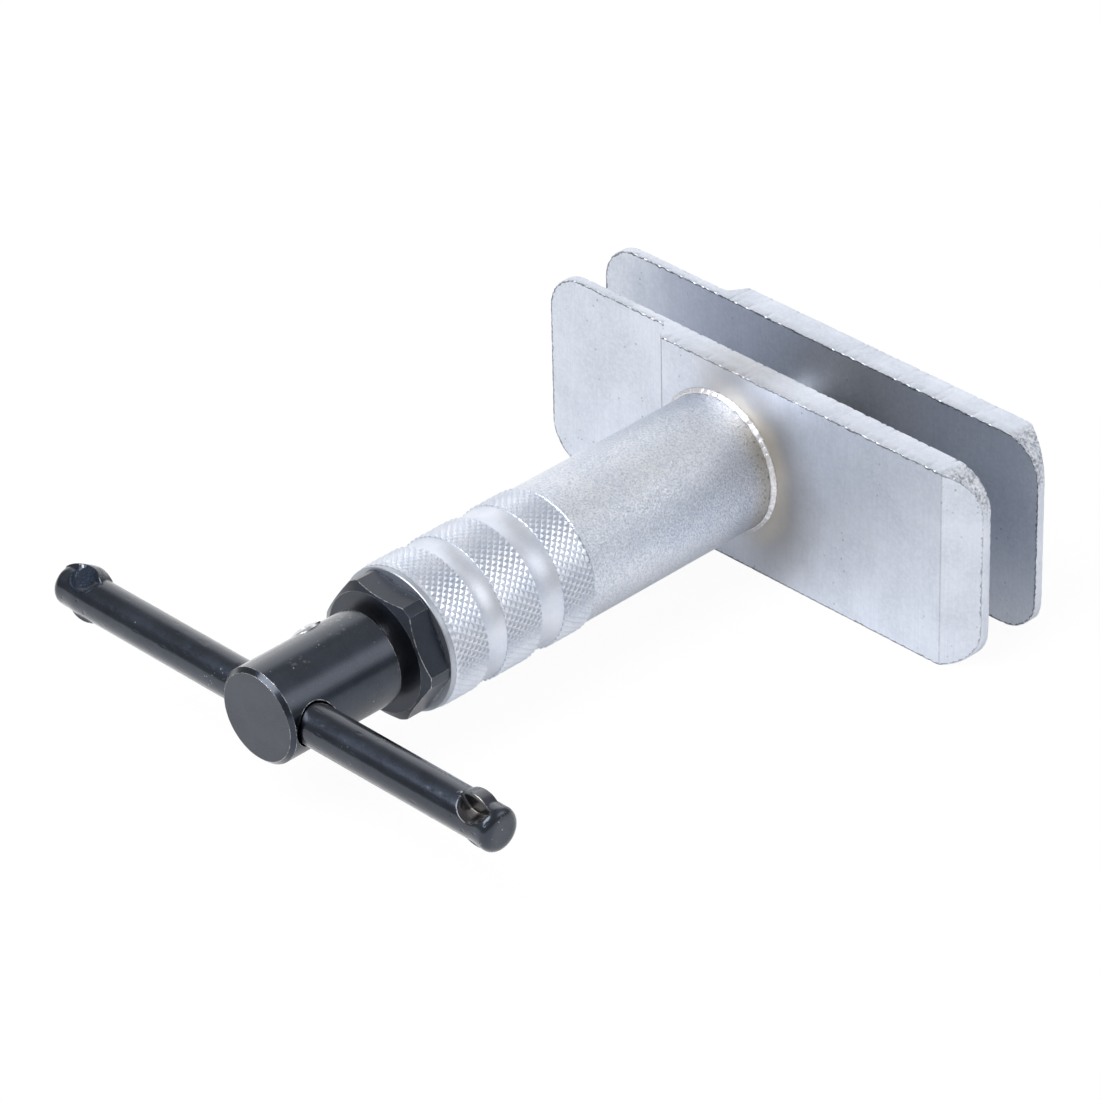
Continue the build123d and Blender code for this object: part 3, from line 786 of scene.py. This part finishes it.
def make_grip():
    """Sleeve with three knurled bands, hollow grooves between them and a plain lip."""
    rings = sleeve_rings()
    vertices = []
    for y, radius in rings:
        for turn in range(GRIP_TURNS):
            angle = 2 * pi * turn / GRIP_TURNS
            vertices.append((radius * cos(angle), y, radius * sin(angle)))
    faces = grid_faces(len(rings), GRIP_TURNS, close_rows=True)
    plain = len(faces)
    for front, rear in band_ends():
        for face in knurl_faces(front, rear):
            first = len(vertices)
            for y, angle, height in face:
                radius = KNURL_ROOT + height
                vertices.append((radius * cos(angle), y, radius * sin(angle)))
            faces.append(tuple(range(first, len(vertices))))
    piece = mesh_piece("grip", vertices, faces)
    count = len(piece.data.polygons)
    piece.data.polygons.foreach_set("use_smooth", [i < plain for i in range(count)])
    for polygon in piece.data.polygons:
        outwards = Vector((polygon.center.x, 0.0, polygon.center.z))
        if polygon.index >= plain and polygon.normal.dot(outwards) < -0.000001:
            polygon.flip()
    piece.data.set_sharp_from_angle(angle=radians(30))
    return piece


# Weld

WELD_LEG = 1.30 * MM
WELD_TURNS = 540
WELD_STEPS = 9
WELD_GAP = 0.02 * MM
WELD_RIPPLES = 58
WELD_FILL = 0.80


def make_weld():
    """Uneven, grainy fillet bead in the corner between body and plate."""
    root = BARREL_RADIUS + WELD_GAP
    front = WELD_STATION - WELD_GAP
    rings = []
    for step in range(WELD_STEPS):
        across = pi / 2 * step / (WELD_STEPS - 1)
        ring = []
        for turn in range(WELD_TURNS):
            angle = 2 * pi * turn / WELD_TURNS
            spot = Vector((cos(angle), sin(angle), 0.0))
            size = 0.84 + 0.18 * noise.noise(spot * 2.2) + 0.10 * noise.noise(spot * 9.0)
            ripple = 0.05 * sin(WELD_RIPPLES * angle + 2 * noise.noise(spot * 4.0))
            grain = 0.13 * noise.noise(Vector((spot.x * 60, spot.y * 60, step * 1.7)))
            leg = WELD_LEG * min(size + ripple * sin(2 * across), 1.0)
            fill = WELD_FILL + grain * sin(2 * across)
            bulge = leg * (fill + (1 - fill) * abs(cos(2 * across)))
            radius = root + bulge * sin(across)
            y = front - bulge * cos(across)
            ring.append((radius * cos(angle), y, radius * sin(angle)))
        rings.append(ring)
    angles = [2 * pi * i / WELD_TURNS for i in range(WELD_TURNS)]
    rings.append([(root * cos(angle), front, root * sin(angle)) for angle in angles])
    vertices = [vertex for ring in rings for vertex in ring]
    piece = mesh_piece("weld_ring", vertices, grid_faces(len(rings), WELD_TURNS, close_rows=True))
    face_outwards(piece)
    return piece


# Gland nut, in mm

NUT_FRONT = -137.95
NUT_BACK = -131.26
NUT_SEAT = -131.2
NUT_END = -121.2
NUT_FLAT = 15.0
NUT_CORNER = 16.6
NUT_FACE = 14.522
NUT_SLOPE = sqrt(3)
NUT_WASHER = 14.6
NUT_SHANK = 12.98
NUT_TURN = 26.0
NUT_EDGE = 0.12
NUT_RIM = 0.3
NUT_FLAT_STEPS = 12
NUT_ROUND_STEPS = 6
NUT_BORE = (
    (9.02, NUT_END), (9.02, -132.7), (7.25, -132.7), (7.25, -134.125), (9.02, -134.125),
    (9.02, -136.525), (7.25, -136.525), (7.25, NUT_FRONT),
)


def make_nut():
    """Hexagon with a coned front, a narrow washer face, a bored shank and softened corners."""
    edge = degrees(acos(NUT_FLAT / NUT_CORNER))
    flat = [edge * i / NUT_FLAT_STEPS for i in range(1 - NUT_FLAT_STEPS, NUT_FLAT_STEPS)]
    rounded = [edge + (60 - 2 * edge) * i / NUT_ROUND_STEPS for i in range(1, NUT_ROUND_STEPS)]
    steps = [-edge, *flat, edge, *rounded]
    columns = []
    for side in range(6):
        for step in steps:
            reach = min(NUT_FLAT / cos(radians(step)), NUT_CORNER) if step <= edge else NUT_CORNER
            cone = NUT_FRONT + (reach - NUT_FACE) / NUT_SLOPE
            rings = [
                *NUT_BORE, (NUT_FACE, NUT_FRONT), (reach, cone), (reach, NUT_BACK - NUT_EDGE),
                (reach - NUT_EDGE, NUT_BACK), (NUT_WASHER - NUT_RIM, NUT_BACK), (NUT_WASHER, NUT_SEAT),
                (NUT_SHANK, NUT_SEAT), (NUT_SHANK, NUT_END),
            ]
            angle = radians(NUT_TURN + 60 * side + step)
            columns.append([(r * MM * cos(angle), y * MM, r * MM * sin(angle)) for r, y in rings])
    count = len(columns[0])
    vertices = [column[row] for row in range(count) for column in columns]
    piece = mesh_piece("nut", vertices, grid_faces(count, len(columns), close_rows=True))
    face_outwards(piece)
    piece.data.set_sharp_from_angle(angle=radians(20))
    return piece


# T-bar: the sizes of its ends, in mm; angles from +Y towards +Z, in degrees

BAR_RADIUS = 5.0
BAR_END_ROUND = 2.0
BAR_TURNS = 288
BAR_END_INSET = 0.03
BAR_MIDDLE_STEPS = 160
BAR_CAP_RINGS = (0.75, 0.5, 0.25)
EAR_SPAN = 13.5
EAR_STEPS = 68
EAR_HALF_TURN = 75.0
EARS = {
    "left": {
        "roll": 60.0, "upper": (-63.4, 6.4, 9.0), "lower": (-60.8, 5.5, 10.0), "tool": -62.4,
        "lean": 62.0, "side": 2.1, "stop": 4.35, "radius": 4.3, "squeeze": (0.0, -0.15),
    },
    "right": {
        "roll": 78.0, "upper": (60.6, 6.15, 6.2), "lower": (62.4, 5.55, 6.2), "tool": 62.1,
        "edge": (1.05, 1.85), "tilt": 18.9, "radius": 4.8, "squeeze": (0.2, 0.3),
    },
}
EAR_ROOT = 3.8
EAR_BACK = 1.6
EAR_FRONT = 2.6
TOOL_WALLS = ((3.15, 1.3), (2.6, 0.55))  # on the outer and the inner side: inner radius, slope
BAR_ENDS = (62.0, 67.0)
BAR_SWELL = (-0.03, 0.04)
BAR_BEND = (0.12, 0.2)
BEND_TOWARDS = Vector((0.0, -0.68, -0.73))
SCAR_PLACE = (-62.4 * MM, BAR_STATION - 0.53 * MM, 4.8 * MM)
SCAR_REACH = (4.6 * MM, 3.8 * MM)
BLOOM_PLACE = (61.4 * MM, BAR_STATION - 2.2 * MM, 3.5 * MM)
BLOOM_REACH = (1.6 * MM, 4.4 * MM)


def bar_radius_at(x, low, high):
    """The plain bar's radius, with its rounded ends."""
    depth = min(x - low, high - x)
    if depth >= BAR_END_ROUND:
        return BAR_RADIUS
    left = BAR_END_ROUND - max(depth, 0.0)
    return BAR_RADIUS - BAR_END_ROUND + sqrt(max(BAR_END_ROUND ** 2 - left ** 2, 0.0))


def ear_reach(x, angle, ear, roll):
    """How far an ear reaches along a ray from the bar's axis, or 0 beside the ear."""
    middle, reach, arc = ear
    away = x - middle
    if abs(away) >= arc:
        return 0.0
    top = reach - arc + sqrt(arc ** 2 - away ** 2)
    turn = radians(angle - roll)
    u, v = sin(turn), cos(turn)
    if top < EAR_ROOT or v < 0.2:
        return 0.0
    side = EAR_FRONT / u if u > 0 else EAR_BACK / max(-u, 0.001)
    return min(top / v, side)


def tool_reach(x, angle, end, roll):
    """Where the tool that raised the ear stops a ray from the bar's axis, or None."""
    turn = radians(angle - roll)
    u, v = sin(turn), cos(turn)
    away = x - end["tool"]
    if abs(away) >= end["radius"]:
        return None
    if "lean" in end:
        lean = radians(end["lean"])
        toward = u * sin(lean) + v * cos(lean)
        if toward < 0.1:
            return None
        cut = end["stop"] / toward
        side = cut * (v * sin(lean) - u * cos(lean)) - end["side"]
        spread = hypot(side, away)
        inner, slope = TOOL_WALLS[0 if away < side - 1.0 else 1]
        return cut + max(spread - inner, 0.0) * slope if spread < end["radius"] + 1.5 else None
    tilt = radians(end["tilt"])
    edge_u, edge_v = end["edge"]
    across = u * cos(tilt) - v * sin(tilt)
    along = u * sin(tilt) + v * cos(tilt)
    if across <= 0 or along <= 0:
        return None
    rise = end["radius"] - sqrt(end["radius"] ** 2 - away ** 2)
    face = (edge_u * cos(tilt) - edge_v * sin(tilt)) / across
    floor = (rise + edge_u * sin(tilt) + edge_v * cos(tilt)) / along
    return (max(face, 0.0) ** 3 + floor ** 3) ** (1 / 3)


def bar_radius(x, angle, end, low, high):
    """The bar's radius with the ears raised and the hollows pressed in."""
    radius = bar_radius_at(x, low, high)
    for turn, ear in ((0.0, end["upper"]), (180.0, end["lower"])):
        roll = end["roll"] + turn
        away = (angle - roll + 180.0) % 360.0 - 180.0
        if abs(away) < EAR_HALF_TURN:
            radius = max(radius, ear_reach(x, roll + away, ear, roll))
        if abs(away) < 179.0:
            cut = tool_reach(x, roll + away, end, roll)
            if cut is not None:
                radius = min(radius, cut)
    return radius


def softened(rows, passes):
    """The same grid of radii, each blended with its four neighbours."""
    for _ in range(passes):
        fresh = [rows[0]]
        for before, row, after in zip(rows, rows[1:], rows[2:]):
            count = len(row)
            fresh.append([
                0.5 * row[i] + 0.125 * (before[i] + after[i] + row[i - 1] + row[(i + 1) % count])
                for i in range(count)
            ])
        fresh.append(rows[-1])
        rows = fresh
    return rows


def make_bar():
    """T-bar with ears pressed up at both ends, forged skin and a few dents."""
    low, high = BAR_LOW.x / MM, BAR_HIGH.x / MM
    angles = [360.0 * i / BAR_TURNS for i in range(BAR_TURNS)]
    stations = {}
    for name, end in EARS.items():
        if name == "left":
            xs = [low + BAR_END_INSET + EAR_SPAN * i / EAR_STEPS for i in range(EAR_STEPS + 1)]
        else:
            xs = [high - BAR_END_INSET - EAR_SPAN * i / EAR_STEPS for i in range(EAR_STEPS, -1, -1)]
        rows = [[bar_radius(x, angle, end, low, high) for angle in angles] for x in xs]
        stations[name] = list(zip(xs, softened(rows, 3)))
    between = []
    start, stop = stations["left"][-1][0], stations["right"][0][0]
    for step in range(1, BAR_MIDDLE_STEPS):
        x = start + (stop - start) * step / BAR_MIDDLE_STEPS
        between.append((x, [BAR_RADIUS] * BAR_TURNS))
    grid = stations["left"] + between + stations["right"]
    vertices = []
    for x, radii in grid:
        left, right = ease(-x, *BAR_ENDS), ease(x, *BAR_ENDS)
        grow = 1.0 + BAR_SWELL[1] * right + BAR_SWELL[0] * left
        shift = BAR_BEND[1] * right + BAR_BEND[0] * left
        sink = BEND_TOWARDS * (shift if x > 0 else -shift)
        for i, radius in enumerate(radii):
            angle = 2 * pi * i / BAR_TURNS
            spot = Vector((x * 0.9, radius * cos(angle), radius * sin(angle)))
            rough = 0.012 * noise.noise(spot * 0.4) + 0.003 * noise.noise(spot * 2.0)
            dent = 0.06 * ease(noise.noise(spot * 1.1 + Vector((7.0, 0.0, 0.0))), 0.50, 0.66)
            reach = radius * grow + rough - dent
            vertices.append((
                x * MM,
                BAR_STATION + (reach * cos(angle) + sink.y) * MM,
                (reach * sin(angle) + sink.z) * MM,
            ))
    faces = grid_faces(len(grid), BAR_TURNS)
    for row in (0, len(grid) - 1):
        first = row * BAR_TURNS
        rim = [vertices[first + i] for i in range(BAR_TURNS)]
        previous = [first + i for i in range(BAR_TURNS)]
        middle = Vector([sum(axis) / BAR_TURNS for axis in zip(*rim)])
        for share in BAR_CAP_RINGS:
            fresh = []
            for vertex in rim:
                spot = middle.lerp(Vector(vertex), share)
                fresh.append(len(vertices))
                vertices.append((vertex[0], spot.y, spot.z))
            faces += [(previous[i], previous[(i + 1) % BAR_TURNS], fresh[(i + 1) % BAR_TURNS], fresh[i])
                      for i in range(BAR_TURNS)]
            previous = fresh
        vertices.append(tuple(middle))
        faces += [(previous[i], previous[(i + 1) % BAR_TURNS], len(vertices) - 1) for i in range(BAR_TURNS)]
    piece = mesh_piece("bar", vertices, faces)
    face_outwards(piece)
    return piece


# Camera, floor and light

EYE = (0.8199, -0.8770, 0.7358)
CAMERA_TURN = (57.2099, 1.1704, 45.2066)
CAMERA_LENS = 199.4
CAMERA_SENSOR = 36.0
CAMERA_CLIP = (0.05, 50.0)
FLOOR_REACH = 4.0
FLOOR_WHITE = 1.02
FLOOR_SEEN = 0.93
FLOOR_MIRRORED = 0.24
DOME = (0.36, 0.46)
LAMP_PLACE = (-0.2, -0.85, 1.1)
LAMP_TARGET = (0.0, -0.07, 0.0)
LAMP_SIZE = 1.0
LAMP_POWER = 18.0

# Panels: azimuth and elevation as low, high and soft edge in degrees, and strength

PANELS = (
    ((105.0, 168.0, 10.0), (-4.0, 43.0, 5.0), 0.92),
    ((26.0, 60.0, 8.0), (17.0, 43.0, 7.0), 1.45),
    ((26.0, 112.0, 12.0), (22.0, 64.0, 9.0), 0.24),
)


def make_camera():
    data = bpy.data.cameras.new("camera")
    data.lens = CAMERA_LENS
    data.sensor_width = CAMERA_SENSOR
    data.clip_start, data.clip_end = CAMERA_CLIP
    camera = bpy.data.objects.new("camera", data)
    camera.location = EYE
    camera.rotation_euler = [radians(angle) for angle in CAMERA_TURN]
    bpy.context.scene.collection.objects.link(camera)
    bpy.context.scene.camera = camera


def floor_look():
    """Pale matte floor that keeps a share of the object's shadow.

    The camera sees the white backdrop through it, so a T-bar that is turned below it stays in view.
    """
    material = bpy.data.materials.new("floor_white")
    material.use_nodes = True
    tree = material.node_tree
    tree.nodes.clear()
    matte = shader_node(tree, "ShaderNodeBsdfDiffuse", {"Color": colour(0.84, 0.84, 0.845)})
    glow = shader_node(tree, "ShaderNodeEmission", {"Strength": FLOOR_WHITE})
    path = shader_node(tree, "ShaderNodeLightPath")
    share = shader_node(tree, "ShaderNodeMapRange", {
        "Value": path.outputs["Is Camera Ray"], "To Min": FLOOR_MIRRORED, "To Max": FLOOR_SEEN})
    clear = shader_node(tree, "ShaderNodeBsdfTransparent")
    pale = shader_node(tree, "ShaderNodeMixShader", {
        0: path.outputs["Is Camera Ray"], 1: glow.outputs[0], 2: clear.outputs[0]})
    mix = shader_node(
        tree, "ShaderNodeMixShader", {0: share.outputs[0], 1: matte.outputs[0], 2: pale.outputs[0]})
    shader_node(tree, "ShaderNodeOutputMaterial", {"Surface": mix.outputs[0]})
    return material


def make_floor():
    corners = [(x * FLOOR_REACH, y * FLOOR_REACH, 0) for x, y in ((-1, -1), (1, -1), (1, 1), (-1, 1))]
    floor = mesh_piece("floor", corners, [(0, 1, 2, 3)], smooth=False)
    floor.location.z = FLOOR_HEIGHT
    floor.data.materials.append(floor_look())


def make_world():
    """Grey studio dome with three soft white panels; the camera itself sees white."""
    world = bpy.data.worlds.new("studio")
    bpy.context.scene.world = world
    world.use_nodes = True
    tree = world.node_tree
    tree.nodes.clear()

    def value(operation, first, second=0.0):
        return shader_node(tree, "ShaderNodeMath", {0: first, 1: second}, operation=operation).outputs[0]

    def fit(source, low, high, to_low=0.0, to_high=1.0):
        return shader_node(tree, "ShaderNodeMapRange", {
            "Value": source, "From Min": low, "From Max": high, "To Min": to_low, "To Max": to_high,
        }, interpolation_type="SMOOTHSTEP").outputs["Result"]

    where = shader_node(tree, "ShaderNodeTexCoord").outputs["Generated"]
    split = shader_node(tree, "ShaderNodeSeparateXYZ", {0: where})
    turn = value("ARCTAN2", split.outputs["Y"], split.outputs["X"])
    rise = value("ARCSINE", split.outputs["Z"])
    strength = fit(split.outputs["Z"], 0.0, 1.0, *DOME)
    for turns, rises, power in PANELS:
        window = 1.0
        for angle, (low, high, soft) in ((turn, turns), (rise, rises)):
            opened = fit(angle, radians(low - soft), radians(low + soft))
            closed = fit(angle, radians(high + soft), radians(high - soft))
            window = value("MULTIPLY", window, value("MULTIPLY", opened, closed))
        strength = value("ADD", strength, value("MULTIPLY", window, power))
    path = shader_node(tree, "ShaderNodeLightPath")
    white = colour(1.0, 1.0, 1.0)
    studio = shader_node(tree, "ShaderNodeBackground", {"Color": white, "Strength": strength})
    seen = shader_node(tree, "ShaderNodeBackground", {"Color": white, "Strength": FLOOR_WHITE})
    mix = shader_node(tree, "ShaderNodeMixShader", {
        0: path.outputs["Is Camera Ray"], 1: studio.outputs[0], 2: seen.outputs[0]})
    shader_node(tree, "ShaderNodeOutputWorld", {"Surface": mix.outputs[0]})


def make_lamp():
    data = bpy.data.lights.new("softbox", "AREA")
    data.size = LAMP_SIZE
    data.energy = LAMP_POWER
    lamp = bpy.data.objects.new("softbox", data)
    lamp.location = LAMP_PLACE
    toward = Vector(LAMP_TARGET) - Vector(LAMP_PLACE)
    lamp.rotation_euler = toward.to_track_quat("-Z", "Y").to_euler()
    bpy.context.scene.collection.objects.link(lamp)


# Build

LOOKS = {
    "plate": plate_look("zinc_plate", MOVER_LOW, MOVER_HIGH, 1.0),
    "tinted": plate_look("zinc_plate_welded", FIXED_LOW, FIXED_HIGH, -1.0),
    "body": body_look("blasted_steel"),
    "weld": weld_look("weld_metal"),
    "grip": grip_look("grip_steel"),
    "black": black_look("black_oxide"),
    "nut": black_look("black_oxide_nut", film=0.30, metal=0.40),
    "bar": bar_look("black_oxide_bar"),
    "bright": bright_look("ground_steel"),
    "rod": rod_look("oiled_rod"),
    "bronze": bronze_look("bronze"),
    "rubber": rubber_look("rubber"),
}
NODE_LOOKS = {
    "fixed_plate": "tinted", "movable_plate": "plate", "weld_bead": "weld", "barrel": "body",
    "grip_sleeve": "grip", "gland_nut": "nut", "gland_bush": "bronze", "gland_seal": "rubber",
    "guide_bush": "bronze", "guide_key": "bright", "rod_wiper": "rubber",
    "collar_washer": "bronze", "retaining_ring": "black", "thrust_race_rear": "bright",
    "roller_cage": "bronze", "thrust_rollers": "bright", "spindle": "bright",
    "thrust_race_front": "bright", "drive_head": "black", "head_screw": "bright",
    "spindle_nut": "bronze", "nut_pins": "bright", "push_rod": "rod",
    "plate_screw": "black", "plate_dowels": "bright", "t_bar": "bar",
}
for node_name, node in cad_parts.items():
    node.data.materials.clear()
    node.data.materials.append(LOOKS[NODE_LOOKS[node_name]])

# The plates' bores from the outer face inwards, as (radius, height) in mm: for the rod and its wiper,
# and for the screw and the rod's seat

FIXED_BORE = ((13.0, THICK), (13.0, 3.0), (15.0, 3.0), (15.0, 0.0))
MOVER_BORE = ((7.52, THICK), (7.52, 6.4), (4.02, 2.9), (4.02, 2.0), (11.02, 2.0), (11.02, 0.0))
fixed = make_plate("fixed_plate_sheared", FIXED_LOW, FIXED_HIGH, FIXED_HIGH.y, -1, FIXED_BORE)
mover = make_plate("movable_plate_sheared", MOVER_LOW, MOVER_HIGH, MOVER_LOW.y, 1, MOVER_BORE)
PIECES = (
    (fixed, "housing", "fixed_plate", "plate_steel", "tinted"),
    (mover, "ram", "movable_plate", "plate_steel", "plate"),
    (make_weld(), "housing", "weld_bead", "bright_steel", "weld"),
    (make_grip(), "housing", "grip_sleeve", "body_steel", "grip"),
    (make_nut(), "housing", "gland_nut", "black_steel", "nut"),
    (make_bar(), "handle", "t_bar", "black_steel", "bar"),
)
for piece, body, replaced, slot, look in PIECES:
    piece.data.materials.append(LOOKS[look])
    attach(piece, body)
    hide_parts(replaced)

make_camera()
make_floor()
make_world()
make_lamp()
bpy.context.scene.view_settings.view_transform = "Standard"
